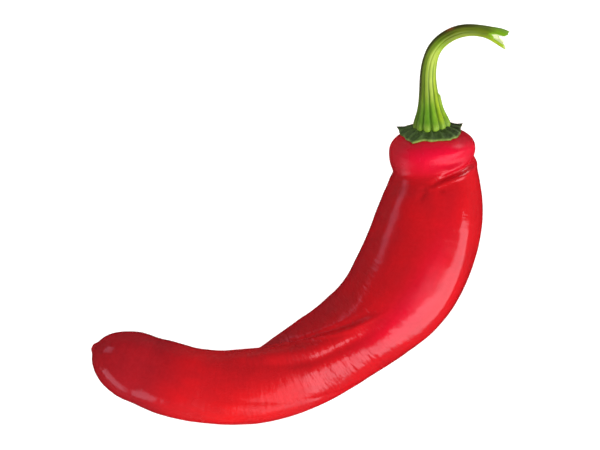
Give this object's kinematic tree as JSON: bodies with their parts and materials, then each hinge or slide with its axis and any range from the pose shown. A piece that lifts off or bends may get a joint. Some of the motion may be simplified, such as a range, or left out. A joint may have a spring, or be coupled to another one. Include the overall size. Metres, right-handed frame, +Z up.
{
  "type": "red pointed pepper",
  "caption": "Whole curved sweet pepper with a rolled shoulder, a blunt tip, a pointed green calyx and a long curled stem, lying on its side.",
  "frame": {"origin": "On the surface that the pepper lies on, under the middle of its outline seen from above", "axes": "+Z is up. +Y is the way the stem leaves the fruit. The fruit's tip points towards -X and the stem's curl towards +X"},
  "size_m": [0.1338, 0.1282, 0.0332],
  "materials": {
    "fruit": "gloss",
    "calyx": "matte",
    "stem": "satin"
  },
  "bodies": {
    "root": {"fruit": "fruit", "calyx": "calyx", "stem": "stem"}
  },
  "joints": []
}
